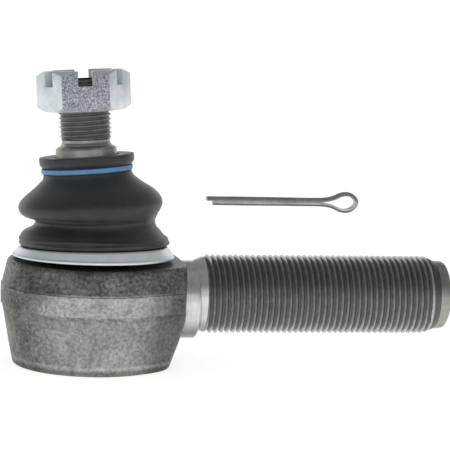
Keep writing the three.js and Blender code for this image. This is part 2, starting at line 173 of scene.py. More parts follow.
# ---- Places ----
ALONG_SHANK = Matrix.Translation((0, 0, BALL.z)) @ Matrix.Rotation(math.pi / 2, 4, "Y")
NECK_LINE = Matrix.Translation((0, 0, BALL.z - NECK_DROP)) @ Matrix.Rotation(math.pi / 2, 4, "Y")
ON_STUD = Matrix.Translation(BALL) @ Matrix.Rotation(REST_LEAN, 4, LEAN_AXIS)
LIP_SEAT = Matrix.Translation((0, 0, LIP_BASE))
ON_LIP = ON_STUD @ LIP_SEAT @ Matrix.Rotation(LIP_COCK, 4, LEAN_AXIS) @ LIP_SEAT.inverted()
CLAMP_TILT = Euler((-CLAMP_RING_LEAN, 0, 0)).to_matrix()
CLAMP_RISE = CLAMP_RING_GAP + CLAMP_RADIUS * math.sin(CLAMP_RING_LEAN)
CLAMP_SEAT = Vector((0, 0, EYE_HEIGHT + CLAMP_RISE))
ON_CLAMP = Matrix.Translation(CLAMP_SEAT) @ CLAMP_TILT.to_4x4()


# ---------------------------------------------------------------- meshes
def smooth_share(value, low, high):
    """0 up to low, 1 from high on, with a smooth rise between them."""
    t = min(max((value - low) / (high - low), 0.0), 1.0)
    return t * t * (3 - 2 * t)


def mesh_object(name, vertices, faces, material, crease=32, layers=None):
    """An object from vertices in millimetres, smooth but for edges sharper than crease degrees."""
    mesh = bpy.data.meshes.new(name)
    mesh.from_pydata([tuple(c * MM for c in v) for v in vertices], [], faces)
    for key, values in (layers or {}).items():
        layer = mesh.attributes.new(key, "FLOAT", "POINT")
        layer.data.foreach_set("value", np.asarray(values, np.float32))
    tidy = bmesh.new()
    tidy.from_mesh(mesh)
    bmesh.ops.remove_doubles(tidy, verts=tidy.verts, dist=1e-7)
    bmesh.ops.dissolve_degenerate(tidy, edges=tidy.edges, dist=1e-8)
    bmesh.ops.recalc_face_normals(tidy, faces=tidy.faces)
    tidy.to_mesh(mesh)
    tidy.free()
    mesh.polygons.foreach_set("use_smooth", [True] * len(mesh.polygons))
    mesh.set_sharp_from_angle(angle=math.radians(crease))
    mesh.materials.append(material)
    made = bpy.data.objects.new(name, mesh)
    bpy.context.scene.collection.objects.link(made)
    return made


def softened(corners, steps=4):
    """A profile with each (radius, height, fillet) corner rounded by its fillet."""
    points = []
    count = len(corners)
    for i, (r, h, fillet) in enumerate(corners):
        here = Vector((r, h))
        if fillet <= 0:
            points.append((r, h))
            continue
        before = Vector(corners[i - 1][:2]) - here
        after = Vector(corners[(i + 1) % count][:2]) - here
        angle = before.angle(after)
        reach = fillet / math.tan(angle / 2)
        reach = min(reach, 0.49 * before.length, 0.49 * after.length)
        start = here + before.normalized() * reach
        end = here + after.normalized() * reach
        for k in range(steps + 1):
            t = k / steps
            point = start * (1 - t) ** 2 + here * 2 * t * (1 - t) + end * t * t
            points.append((point.x, point.y))
    return points


def along(points, step):
    """The same outline with extra points, so that none are further apart than step."""
    dense = []
    for (r0, h0), (r1, h1) in zip(points, points[1:] + points[:1]):
        parts = max(1, math.ceil(math.hypot(r1 - r0, h1 - h0) / step))
        dense += [(r0 + (r1 - r0) * k / parts, h0 + (h1 - h0) * k / parts) for k in range(parts)]
    return dense


def revolve(points, segments, shape=None):
    """Vertices and faces of a profile turned about +Z.

    shape(radius, angle, height) may move a point. A profile that starts and ends on the axis is
    closed by it, any other is closed on itself.
    """
    vertices, faces = [], []
    for i in range(segments):
        angle = TAU * i / segments
        for r, h in points:
            radius, level = shape(r, angle, h) if shape else (r, h)
            vertices.append((radius * math.cos(angle), radius * math.sin(angle), level))
    count = len(points)
    last = count if points[0][0] or points[-1][0] else count - 1
    for i in range(segments):
        here, there = i * count, (i + 1) % segments * count
        for k in range(last):
            after = (k + 1) % count
            faces.append((here + k, there + k, there + after, here + after))
    return vertices, faces


def placed(vertices, matrix):
    """The same vertices, moved by a matrix."""
    return [tuple(matrix @ Vector(v)) for v in vertices]


def screw_thread(crest, pitch, start, end, envelope, segments=96, rows=8):
    """A right-hand thread about +Z whose rows of vertices follow the helix.

    envelope(height) is the largest radius there, which makes the run-out and the end chamfer.
    The rise layer is 0 in the root and 1 on the crest.
    """
    depth = 0.6134 * pitch  # of an external metric thread
    root = crest - depth
    vertices, faces, rise = [], [], []
    count = math.ceil((end - start) / pitch * rows) + 2 * rows
    for row in range(count + 1):
        phase = row % rows / rows
        share = min(max((0.5 - abs(phase - 0.5)) * 2.6 - 0.42, 0.0), 1.0)
        for i in range(segments):
            level = start + ((row / rows) - 1 + i / segments) * pitch
            level = min(max(level, start), end)
            radius = min(root + depth * share, envelope(level))
            angle = TAU * i / segments
            vertices.append((radius * math.cos(angle), radius * math.sin(angle), level))
            rise.append((radius - root) / depth)
    for row in range(count):
        for i in range(segments):
            a, b = row * segments + i, row * segments + (i + 1) % segments
            c, d = a + segments, b + segments
            if i == segments - 1:  # the helix meets itself one pitch on
                b, d = b + rows * segments, d + rows * segments
            if max(b, d) < len(vertices):
                faces.append((a, b, d, c))
    return vertices, faces, rise


# ---------------------------------------------------------------- materials
class Nodes:
    """A material's node tree, built from a few short calls."""

    def __init__(self, name):
        self.material = bpy.data.materials.new(name)
        self.material.use_nodes = True
        self.tree = self.material.node_tree
        self.shader = self.tree.nodes["Principled BSDF"]
        self.place = self.add("ShaderNodeTexCoord").outputs["Object"]

    def add(self, kind, **settings):
        """A new node with its settings."""
        node = self.tree.nodes.new(kind)
        for key, value in settings.items():
            setattr(node, key, value)
        return node

    def put(self, value, socket):
        """Links another node's output to a socket, or sets a constant."""
        if isinstance(value, bpy.types.NodeSocket):
            self.tree.links.new(value, socket)
        else:
            socket.default_value = value

    def grain(self, size_mm, detail=4.0, roughness=0.55, stretch=(1, 1, 1)):
        """Noise in patches of about size_mm, drawn out along an axis by a stretch under 1."""
        mapping = self.add("ShaderNodeMapping")
        mapping.inputs["Scale"].default_value = stretch
        self.put(self.place, mapping.inputs["Vector"])
        texture = self.add("ShaderNodeTexNoise")
        self.put(mapping.outputs["Vector"], texture.inputs["Vector"])
        texture.inputs["Scale"].default_value = 1 / (size_mm * MM)
        texture.inputs["Detail"].default_value = detail
        texture.inputs["Roughness"].default_value = roughness
        return texture.outputs["Fac"]

    def cells(self, size_mm):
        """Distance to the middle of the nearest cell, with cells about size_mm across."""
        texture = self.add("ShaderNodeTexVoronoi", feature="F1")
        self.put(self.place, texture.inputs["Vector"])
        texture.inputs["Scale"].default_value = 1 / (size_mm * MM)
        return texture.outputs["Distance"]

    def layer(self, name):
        """A value stored on the mesh under this name."""
        return self.add("ShaderNodeAttribute", attribute_name=name).outputs["Fac"]

    def ramp(self, value, stops):
        """A colour ramp: stops are (position, grey or colour)."""
        node = self.add("ShaderNodeValToRGB")
        self.put(value, node.inputs["Fac"])
        ends = node.color_ramp.elements
        while len(ends) < len(stops):
            ends.new(0.5)
        for end, (position, colour) in zip(ends, stops):
            end.position = position
            grey = not hasattr(colour, "__len__")
            end.color = (colour, colour, colour, 1) if grey else (*colour, 1)
        return node.outputs["Color"]

    def span(self, value, low, high, to_low=0.0, to_high=1.0):
        """The value scaled from low..high to to_low..to_high."""
        node = self.add("ShaderNodeMapRange")
        for key, item in zip(("Value", "From Min", "From Max", "To Min", "To Max"),
                             (value, low, high, to_low, to_high)):
            self.put(item, node.inputs[key])
        return node.outputs["Result"]

    def blend(self, share, first, second, how="MIX"):
        """Two greys or colours mixed by share."""
        node = self.add("ShaderNodeMix", data_type="RGBA", blend_type=how)
        self.put(share, node.inputs["Factor"])
        for value, key in ((first, "A"), (second, "B")):
            socket = next(s for s in node.inputs if s.name == key and s.type == "RGBA")
            grey = isinstance(value, (int, float))
            flat = (*value, 1) if isinstance(value, tuple) else value
            self.put((value, value, value, 1) if grey else flat, socket)
        return next(s for s in node.outputs if s.type == "RGBA")

    def combine(self, first, second, how="ADD"):
        """Two values added, or joined by another operation."""
        node = self.add("ShaderNodeMath", operation=how)
        self.put(first, node.inputs[0])
        self.put(second, node.inputs[1])
        return node.outputs["Value"]

    def bump(self, height, depth_mm, strength, normal=None):
        """A normal roughened by a height, on top of another normal if one is given."""
        node = self.add("ShaderNodeBump")
        node.inputs["Strength"].default_value = strength
        node.inputs["Distance"].default_value = depth_mm * MM
        self.put(height, node.inputs["Height"])
        if normal:
            self.put(normal, node.inputs["Normal"])
        return node.outputs["Normal"]

    def finish(self, colour, roughness, normal, metallic=0.0, **constants):
        """Joins everything to the shader and returns the material."""
        self.put(colour, self.shader.inputs["Base Color"])
        self.put(roughness, self.shader.inputs["Roughness"])
        self.put(normal, self.shader.inputs["Normal"])
        self.put(metallic, self.shader.inputs["Metallic"])
        for key, value in constants.items():
            self.shader.inputs[key].default_value = value
        return self.material


def forged_steel():
    """Shot-blasted forging skin: brown-grey and pitted, with worn bright patches, painted highlight
    on the faces towards the front and back, and painted shade at the ends of the eye and along its
    base.
    """
    n = Nodes("forged_steel")
    patches = n.grain(11, 4, 0.6)
    lumps = n.grain(2.4, 3, 0.55)
    speckle = n.grain(1.1, 5, 0.68)
    pits = n.cells(1.3)
    base = n.ramp(patches, [(0.36, (0.115, 0.112, 0.1)), (0.66, (0.2, 0.196, 0.18))])
    fine = n.ramp(speckle, [(0.34, 0.45), (0.5, 0.95), (0.66, 1.6)])
    colour = n.blend(1.0, base, fine, "MULTIPLY")
    # Worn patches and painted highlight, lightening the skin towards pale steel
    worn_and_lit = n.combine(n.layer("wear_and_highlight"), n.span(speckle, 0.4, 0.6, 0.75, 1.15), "MULTIPLY")
    colour = n.blend(worn_and_lit, colour, (0.64, 0.635, 0.615))
    # Painted shade at the ends of the eye and along its base
    colour = n.blend(n.layer("painted_shade"), colour, (0.045, 0.043, 0.038))
    rough = n.span(speckle, 0.35, 0.65, 0.5, 0.36)
    coarse = n.bump(lumps, 0.5, 0.35, n.bump(pits, 0.2, 0.6))
    normal = n.bump(speckle, 0.16, 0.85, coarse)
    return n.finish(colour, rough, normal, 0.85)


def turned_steel(name, tone, roughness, across="X", underside=None):
    """Machined steel with fine tool lines round the piece, darker below a height if one is given.
    """
    n = Nodes(name)
    stretch = {"X": (1, 0.02, 0.02), "Z": (0.02, 0.02, 1)}[across]
    lines = n.grain(0.18, 3, 0.6, stretch)
    stain = n.grain(5, 4, 0.6)
    base = n.ramp(stain, [(0.32, tuple(0.72 * c for c in tone)), (0.62, tone)])
    colour = n.blend(0.35, base, n.ramp(lines, [(0.3, 0.45), (0.7, 0.95)]), "OVERLAY")
    if underside:
        height = n.add("ShaderNodeSeparateXYZ")
        n.put(n.place, height.inputs["Vector"])
        # Darker towards the bottom, below the given height
        darker_below = n.span(height.outputs["Z"], underside - 0.003, underside + 0.002, 0.75, 0.0)
        colour = n.blend(darker_below, colour, (0.09, 0.085, 0.075))
    rough = n.span(stain, 0.3, 0.7, roughness + 0.1, roughness - 0.04)
    return n.finish(colour, rough, n.bump(lines, 0.012, 0.5), 1.0)


def thread_steel(name, across="X"):
    """Cut thread: painted shade in the roots, grey flanks and painted highlight on the crests."""
    n = Nodes(name)
    rise = n.layer("rise")
    grime = n.grain(2.2, 5, 0.65)
    streak = n.grain(0.5, 4, 0.6, (1, 0.3, 0.3) if across == "X" else (0.3, 0.3, 1))
    level = n.combine(rise, n.span(grime, 0.3, 0.7, -0.1, 0.1))
    # Painted shade in the roots and a painted highlight along the crests, following the rise layer
    colour = n.ramp(level, [(0.1, (0.12, 0.117, 0.106)), (0.45, (0.44, 0.435, 0.41)),
                            (0.84, (0.48, 0.475, 0.45)), (0.92, (0.95, 0.94, 0.91))])
    colour = n.blend(0.5, colour, n.ramp(streak, [(0.3, 0.35), (0.7, 0.75)]), "OVERLAY")
    rough = n.span(level, 0.2, 1.0, 0.4, 0.22)
    return n.finish(colour, rough, n.bump(streak, 0.02, 0.5), 0.9)


def zinc_plate(name, low, high, grainy=False):
    """Bluish zinc plating. The grainy kind has coarse spots where the grainy layer is 1."""
    n = Nodes(name)
    cloud = n.grain(4, 4, 0.6)
    fleck = n.grain(0.42, 4, 0.75)
    base = n.ramp(cloud, [(0.3, low), (0.7, high)])
    colour = n.blend(0.4, base, n.ramp(fleck, [(0.36, 0.3), (0.6, 0.85)]), "OVERLAY")
    rough = n.span(cloud, 0.3, 0.7, 0.42, 0.32)
    normal = n.bump(fleck, 0.012, 0.5)
    if grainy:
        sparkle = n.layer("grainy")
        spots = n.grain(0.5, 3, 0.8)
        rough_face = n.ramp(spots, [(0.36, (0.1, 0.1, 0.14)), (0.5, (0.34, 0.35, 0.4)),
                                    (0.62, (0.66, 0.68, 0.73))])
        colour = n.blend(sparkle, colour, rough_face)
        normal = n.bump(n.combine(spots, sparkle, "MULTIPLY"), 0.12, 0.7, normal)
    return n.finish(colour, rough, normal, 0.55)


def boot_rubber():
    """Black moulded rubber with a dusty satin bloom and faint mould texture."""
    n = Nodes("boot_rubber")
    bloom = n.grain(7, 4, 0.6)
    dust = n.grain(0.6, 4, 0.7)
    base = n.ramp(bloom, [(0.35, (0.018, 0.0185, 0.021)), (0.7, (0.036, 0.0365, 0.04))])
    colour = n.blend(0.3, base, n.ramp(dust, [(0.4, 0.3), (0.7, 0.65)]), "OVERLAY")
    rough = n.span(bloom, 0.3, 0.7, 0.36, 0.5)
    normal = n.bump(dust, 0.03, 0.35, n.bump(bloom, 0.25, 0.25))
    constants = {"Sheen Weight": 0.12, "Sheen Roughness": 0.5, "Specular IOR Level": 0.45}
    return n.finish(colour, rough, normal, 0.0, **constants)


def plain_plastic(name, colour, roughness):
    """Moulded plastic in one colour, slightly clouded and scuffed."""
    n = Nodes(name)
    cloud = n.grain(3, 3, 0.5)
    scuff = n.grain(0.5, 4, 0.7)
    darker = tuple(0.8 * c for c in colour)
    base = n.ramp(cloud, [(0.35, darker), (0.65, colour)])
    mottled = n.blend(0.18, base, n.ramp(scuff, [(0.35, 0.3), (0.7, 0.75)]), "OVERLAY")
    rough = n.span(scuff, 0.3, 0.7, roughness + 0.08, roughness - 0.05)
    return n.finish(mottled, rough, n.bump(scuff, 0.015, 0.4), 0.0)


FORGED = forged_steel()
NECK_STEEL = turned_steel("neck_steel", (0.66, 0.65, 0.625), 0.2, underside=0.0145)
STUD_STEEL = turned_steel("stud_steel", (0.33, 0.33, 0.295), 0.33, "Z")
PIN_STEEL = turned_steel("pin_steel", (0.42, 0.42, 0.41), 0.34)
PRESSED_STEEL = turned_steel("pressed_steel", (0.3, 0.295, 0.28), 0.42, "Z")
SPRING_STEEL = turned_steel("spring_steel", (0.24, 0.24, 0.25), 0.38, "Z")
SHANK_THREAD = thread_steel("shank_thread_steel")
STUD_THREAD = thread_steel("stud_thread_steel", "Z")
ZINC = zinc_plate("clamp_zinc", (0.78, 0.83, 0.85), (0.93, 0.96, 0.97))
NUT_ZINC = zinc_plate("nut_zinc", (0.64, 0.69, 0.715), (0.8, 0.85, 0.87), grainy=True)
RUBBER = boot_rubber()
BLUE = plain_plastic("blue_plastic", (0.13, 0.33, 0.62), 0.42)
SEAT_PLASTIC = plain_plastic("seat_plastic", (0.72, 0.69, 0.6), 0.45)


# ---------------------------------------------------------------- housing
def eye_profile():
    """Half section of the eye: its drafted sides, the parting band, the mouth and the cavity."""
    band_low, band_high = BALL.z - BAND_HEIGHT / 2, BALL.z + BAND_HEIGHT / 2
    return softened([
        (ROLLED_LIP_RADIUS, 0, 0.3),
        (EYE_BOTTOM_RADIUS, 0, 0.9),
        (EYE_RADIUS - BAND_STEP, band_low, 0.12),
        (EYE_RADIUS, band_low + 0.2, 0.12),
        (EYE_RADIUS, band_high - 0.2, 0.12),
        (EYE_RADIUS - BAND_STEP, band_high, 0.12),
        (EYE_TOP_RADIUS, EYE_HEIGHT, 1.6),
        (MOUTH_RADIUS, EYE_HEIGHT, 0.4),
        (MOUTH_RADIUS - 1.4, CAVITY_TOP, 0.2),
        (CAVITY_RADIUS, CAVITY_TOP, 0.2),
        (CAVITY_RADIUS, CAVITY_FLOOR, 0.2),
        (RECESS_RADIUS, CAVITY_FLOOR, 0.2),
        (RECESS_RADIUS, ROLLED_LIP, 0.2),
        (ROLLED_LIP_RADIUS, ROLLED_LIP, 0.3),
    ])


def stamped(across, up):
    """1 inside the small square sunk in the parting band, 0 outside it."""
    return smooth_share(STAMP_HALF_ANGLE - abs(across), 0, 1.2) * smooth_share(1 - abs(up), 0, 0.25)


def eye_shape(radius, angle, height):
    """Draws the eye out towards the neck and gives its skin the unevenness of a forging."""
    machined = radius < RECESS_RADIUS + 0.6
    under_clamp = height > EYE_HEIGHT - 0.01 and radius < EYE_TOP_RADIUS - 3
    if machined or under_clamp:
        return radius, height
    turn = abs((angle + math.pi) % TAU - math.pi)
    if turn < TAPER_OFF:
        rise = min(max(height / (BALL.z - BAND_HEIGHT), 0), 1)
        reach = EYE_BOTTOM_RADIUS + (SHOULDER_REACH - EYE_BOTTOM_RADIUS) * math.sqrt(rise)
        side = radius / math.cos(TAPER_OFF - turn)
        front = max(radius, reach / math.cos(turn))
        drawn = (side ** -CORNER_POWER + front ** -CORNER_POWER) ** (-1 / CORNER_POWER)
        share = FOOT_SHARE + (1 - FOOT_SHARE) * rise
        edge = smooth_share(radius, EYE_TOP_RADIUS - 6, EYE_TOP_RADIUS - 2.5)
        radius += (max(drawn, radius) - radius) * share * edge
    on_band = smooth_share(BAND_HEIGHT / 2 + 0.2 - abs(height - BALL.z), 0, 0.4)
    from_step = abs(math.degrees(angle) - BAND_PROUD_MIDDLE) - BAND_PROUD_HALF
    radius -= BAND_PROUD * on_band * smooth_share(from_step, 0, 1)
    across = math.degrees(angle) - STAMP_MIDDLE
    radius -= STAMP_DEPTH * stamped(across, (height - BALL.z) / STAMP_HALF_HEIGHT)
    spot = Vector((radius * math.cos(angle), radius * math.sin(angle), height))
    lumps = noise.noise(spot / 9) * 0.16 + noise.noise(spot / 2.6 + Vector((7, 3, 1))) * 0.05
    lumps *= smooth_share(height, 0.2, 2.5) * smooth_share(radius, 24, 26)
    return radius + lumps - 0.12, height


def wear_and_painted_highlight(x, y, z):
    """Worn bright patches, and painted highlight on the faces towards the front and back: most on
    the parting band, then on the flanks below it.
    """
    radius = math.hypot(x, y)
    patch = smooth_share(noise.noise(Vector((x, y, z)) / 5 + Vector((2, 9, 4))), -0.1, 0.5)
    on_band = smooth_share(BAND_HEIGHT / 2 + 0.3 - abs(z - BALL.z), 0, 0.5)
    striation = noise.noise(Vector((x * 2.2, y * 2.2, z * 0.12))) * 0.5 + 0.5
    # Painted highlight: the faces towards the front and back are brightened, the band and the lower
    # flanks most
    facing = smooth_share(abs(y) / radius, 0.5, 0.95)
    below = smooth_share(BALL.z - z, 2, 6)
    brightened = 0.14 * patch + facing * (0.3 * below + on_band * (0.34 + 0.4 * striation))
    # A bright line round the eye just above the base
    foot_line = 0.5 * math.exp(-((z - 2.6) / 0.35) ** 2)
    return smooth_share(radius, 25, 26) * min(brightened + 0.03 * on_band + foot_line, 1)


def painted_end_shade(x, y, z):
    """How much painted shade darkens the skin: next to the neck, at the far end of the eye and
    along the base.
    """
    ends = 0.5 * smooth_share(x, 10, 22) + 0.28 * smooth_share(-x, 16, 28)
    base_edge = 0.4 * smooth_share(2.2 - z, 0, 0.8)
    return ends * smooth_share(BALL.z + 6 - z, 0, 5) + base_edge


def make_eye():
    vertices, faces = revolve(along(eye_profile(), 0.75), 320, eye_shape)
    layers = {
        "wear_and_highlight": [wear_and_painted_highlight(*v) for v in vertices],
        "painted_shade": [painted_end_shade(*v) for v in vertices],
    }
    return mesh_object("eye_forging", vertices, faces, FORGED, crease=40, layers=layers)


def make_neck():
    """Cylinder from inside the eye to its chamfered end."""
    start, end = EYE_TOP_RADIUS - 8, NECK_REACH + 1.4
    profile = softened([
        (0, start, 0),
        (NECK_RADIUS, start, 0),
        (NECK_RADIUS, NECK_REACH, 0.7),
        (NECK_RADIUS - 2.2, end, 0.4),
        (0, end, 0),
    ])
    vertices, faces = revolve(profile, ROUND)
    return mesh_object("turned_neck", placed(vertices, NECK_LINE), faces, NECK_STEEL, crease=40)


def make_collar():
    """Cone on the thread's own axis, from the dropped neck up to the first turn of the thread."""
    start, end = COLLAR_START - 4, THREAD_START + 0.4
    profile = softened([
        (0, start, 0),
        (COLLAR_RADIUS, start, 0),
        (COLLAR_RADIUS, COLLAR_START, 1),
        (COLLAR_TOP_RADIUS, end, 0.3),
        (0, end, 0),
    ])
    vertices, faces = revolve(profile, ROUND)
    return mesh_object("neck_collar", placed(vertices, ALONG_SHANK), faces, NECK_STEEL, crease=40)


def shank_envelope(height):
    """Largest radius of the shank's thread at a height along the shank."""
    slope = (THREAD_RADIUS - NOSE_RADIUS) / THREAD_CHAMFER
    run_out = THREAD_RADIUS - RUN_OUT_DEPTH + max(height - THREAD_START, 0) * 0.9
    chamfer = THREAD_RADIUS - max(height - THREAD_END, 0) * slope
    return min(run_out, chamfer, THREAD_RADIUS)


def make_shank_thread():
    end = THREAD_END + THREAD_CHAMFER
    vertices, faces, rise = screw_thread(
        THREAD_RADIUS, SHANK_PITCH, THREAD_START, end, shank_envelope
    )
    vertices = placed(vertices, ALONG_SHANK)
    layers = {"rise": rise}
    return mesh_object("shank_thread", vertices, faces, SHANK_THREAD, crease=60, layers=layers)


def make_nose():
    """The plain rounded end of the shank."""
    profile = softened([
        (0, THREAD_END, 0),
        (NOSE_RADIUS - 0.4, THREAD_END, 0),
        (NOSE_RADIUS, THREAD_END + THREAD_CHAMFER, 0.2),
        (NOSE_RADIUS, SHANK_END, 3.4),
        (0, SHANK_END, 0),
    ])
    vertices, faces = revolve(profile, ROUND)
    return mesh_object("shank_nose", placed(vertices, ALONG_SHANK), faces, STUD_STEEL, crease=40)


# ---------------------------------------------------------------- stud, nut and rings
def taper_radius(height):
    """Radius of the stud's taper at a height."""
    return TAPER_TOP_RADIUS + TAPER_SLOPE * (TAPER_TOP - height)


def make_stud():
    """Ball, neck, taper and relief in one turned piece."""
    neck_angle = math.acos(STUD_NECK_RADIUS / BALL_RADIUS)
    steps = 40
    turns = [BALL_FLAT + (neck_angle - BALL_FLAT) * k / steps for k in range(steps + 1)]
    ball = [(BALL_RADIUS * math.cos(turn), BALL_RADIUS * math.sin(turn), 0) for turn in turns]
    profile = softened([
        (0, ball[0][1], 0),
        *ball,
        (STUD_NECK_RADIUS, STUD_NECK_TOP, 3),
        (taper_radius(TAPER_START), TAPER_START, 1),
        (TAPER_TOP_RADIUS, TAPER_TOP - 0.4, 0.3),
        (TAPER_TOP_RADIUS - 0.7, TAPER_TOP + 0.1, 0.2),
        (RELIEF_RADIUS + 0.5, TAPER_TOP + 0.5, 0.4),
        (RELIEF_RADIUS, TAPER_TOP + 1.6, 0.5),
        (RELIEF_RADIUS, STUD_THREAD_START + 1.5, 0),
        (0, STUD_THREAD_START + 1.5, 0),
    ])
    vertices, faces = revolve(profile, ROUND)
    return mesh_object("stud_body", placed(vertices, ON_STUD), faces, STUD_STEEL, crease=40)


def stud_envelope(height):
    """Largest radius of the stud's thread at a height."""
    run_out = RELIEF_RADIUS - 0.1 + max(height - STUD_THREAD_START, 0) * 0.8
    chamfer = STUD_THREAD_RADIUS - max(height - (STUD_END - STUD_CHAMFER), 0) * 0.95
    return min(run_out, chamfer, STUD_THREAD_RADIUS)


def make_stud_thread():
    vertices, faces, rise = screw_thread(
        STUD_THREAD_RADIUS, STUD_PITCH, STUD_THREAD_START, STUD_END, stud_envelope
    )
    vertices = placed(vertices, ON_STUD)
    layers = {"rise": rise}
    return mesh_object("stud_thread", vertices, faces, STUD_THREAD, crease=60, layers=layers)


def turned_cutter(name, profile):
    """A solid of revolution to cut the nut with."""
    return mesh_object(name, *revolve(profile, ROUND), NUT_ZINC)


def cut(target, tool, operation):
    """Combines target with tool and removes tool."""
    modifier = target.modifiers.new(tool.name, "BOOLEAN")
    modifier.operation = operation
    modifier.solver = "MANIFOLD"
    modifier.object = tool
    baked = bpy.data.meshes.new_from_object(
        target.evaluated_get(bpy.context.evaluated_depsgraph_get())
    )
    target.modifiers.clear()
    target.data = baked
    bpy.data.objects.remove(tool)


def make_nut():
    """Hexagon cut by a double cone, the bore and three slots across, then set on the stud."""
    corner = NUT_ACROSS_FLATS / 2 / math.cos(math.pi / 6)
    face = NUT_ACROSS_FLATS / 2 - NUT_FACE_INSET
    drop = (corner + 0.5 - face) * math.tan(NUT_CHAMFER)
    ring = [
        (corner * math.cos(TAU * i / 6), corner * math.sin(TAU * i / 6)) for i in range(6)
    ]
    vertices = [(x, y, h) for h in (0, NUT_HEIGHT) for x, y in ring]
    sides = [(i, (i + 1) % 6, (i + 1) % 6 + 6, i + 6) for i in range(6)]
    faces = [tuple(range(5, -1, -1)), tuple(range(6, 12)), *sides]
    nut = mesh_object("slotted_nut", vertices, faces, NUT_ZINC)
    cone = turned_cutter("nut_chamfer", [
        (0, 0), (face, 0), (corner + 0.5, drop), (corner + 0.5, NUT_HEIGHT - drop),
        (face, NUT_HEIGHT), (0, NUT_HEIGHT),
    ])
    cut(nut, cone, "INTERSECT")
    bore = STUD_THREAD_RADIUS + NUT_BORE_GAP
    wide = bore + NUT_COUNTERSINK
    hole = turned_cutter("nut_bore", [
        (0, -1), (wide, -1), (bore, 0.9), (bore, NUT_HEIGHT - 0.9),
        (wide, NUT_HEIGHT + 1), (0, NUT_HEIGHT + 1),
    ])
    cut(nut, hole, "DIFFERENCE")
    for i in range(3):
        turn = Matrix.Rotation(TAU * i / 6 + math.pi / 6, 4, "Z")
        half, reach, deep = SLOT_WIDTH / 2, 2 * NUT_ACROSS_FLATS, SLOT_DEPTH
        box = [(x, y, NUT_HEIGHT + z) for z in (-deep, deep) for y in (-half, half)
               for x in (-reach, reach)]
        quads = [(0, 2, 3, 1), (4, 5, 7, 6), (0, 1, 5, 4), (2, 6, 7, 3), (0, 4, 6, 2), (1, 3, 7, 5)]
        cut(nut, mesh_object("nut_slot", placed(box, turn), quads, NUT_ZINC), "DIFFERENCE")
    bevel = nut.modifiers.new("edge", "BEVEL")
    bevel.width = 0.22 * MM
    bevel.segments = 2
    bevel.limit_method = "ANGLE"
    bevel.angle_limit = math.radians(25)
    nut.data.transform(ON_STUD.to_3x3().to_4x4() @ Matrix.Rotation(NUT_TURN, 4, "Z"))
    nut.data.transform(Matrix.Translation((ON_STUD @ Vector((0, 0, NUT_TOP - NUT_HEIGHT))) * MM))
    grainy = nut.data.attributes.new("grainy", "FLOAT", "FACE")
    grainy.data.foreach_set("value", [abs(face.normal.y) > 0.95 for face in nut.data.polygons])
    return nut


def make_top_ring():
    """The blue ring under the boot's lip."""
    profile = softened([
        (TOP_RING_INNER, TOP_RING_LOW, 0.2), (TOP_RING_OUTER, TOP_RING_LOW, 0.4),
        (TOP_RING_OUTER, TOP_RING_HIGH, 0.4), (TOP_RING_INNER, TOP_RING_HIGH, 0.2),
    ])
    vertices, faces = revolve(profile, 160)
    return mesh_object("blue_ring", placed(vertices, ON_LIP), faces, BLUE, crease=50)


def crimp(angle):
    """How far the top of the clamp ring stands above its mean height, round the ring."""
    return 0.4 * math.cos(angle) - 0.65 * math.sin(angle)


def clamp_shape(radius, angle, height):
    """The crimp grows from nothing at the ring's base to all of it at its top."""
    return radius, height + crimp(angle) * height / CLAMP_RING_HEIGHT


def make_clamp_ring():
    """Pressed zinc ring: a flared skirt with a rolled lower edge and an inward top edge."""
    radius, top = CLAMP_RADIUS, CLAMP_RING_HEIGHT
    profile = softened([
        (radius - 1.2, 0.05, 0.3), (radius, 0.05, 0.4), (radius - 0.1, 0.75, 0.3),
        (radius - 0.75, 1.1, 0.3), (radius - 1.95, top - 0.4, 0.5), (radius - 2.5, top, 0.3),
        (radius - 3.6, top, 0.3), (radius - 3.0, top - 1.1, 0.3),
    ])
    vertices, faces = revolve(profile, 192, clamp_shape)
    return mesh_object("clamp_skirt", placed(vertices, ON_CLAMP), faces, ZINC, crease=45)


# ---------------------------------------------------------------- dust boot
# Height, radius on the side the stud leans to, radius on the shank's side
BOOT_SIDES = [
    (16.3, 24.2, 24.2), (16.8, 24.7, 25.0), (17.6, 24.7, 25.1), (18.7, 24.6, 24.6),
    (20.0, 24.1, 23.5), (20.8, 23.3, 22.9), (21.9, 21.1, 22.0), (22.9, 19.9, 21.0),
    (24.0, 19.5, 20.6), (25.1, 20.3, 20.6), (25.9, 22.8, 20.9), (27.0, 24.1, 21.6),
    (28.5, 24.5, 22.8), (30.1, 24.3, 23.6), (31.6, 23.5, 23.5), (33.0, 22.1, 22.7),
    (34.5, 20.3, 21.1), (36.2, 18.0, 18.6), (37.8, 16.2, 16.6), (39.1, 14.9, 15.3),
    (40.6, 14.6, 14.8),
]
# Wrinkles at the foot: height, how far it wanders, waves round the boot, phase, half width, share
BOOT_WRINKLES = [(19.0, 0.4, 3, 1, 0.5, 1), (17.4, 0.3, 4, 0, 0.35, 0.6)]
WRINKLE_HEIGHT = 0.4


def smooth_curve(points, steps):
    """Catmull-Rom curve through the points."""
    ends = [points[0], *points, points[-1]]
    curve = []
    for a, b, c, d in zip(ends, ends[1:], ends[2:], ends[3:]):
        for k in range(steps):
            t = k / steps
            curve.append(tuple(
                0.5 * (2 * q + (r - p) * t + (2 * p - 5 * q + 4 * r - s) * t * t
                       + (3 * q - p - 3 * r + s) * t ** 3)
                for p, q, r, s in zip(a, b, c, d)
            ))
    return [*curve, points[-1]]


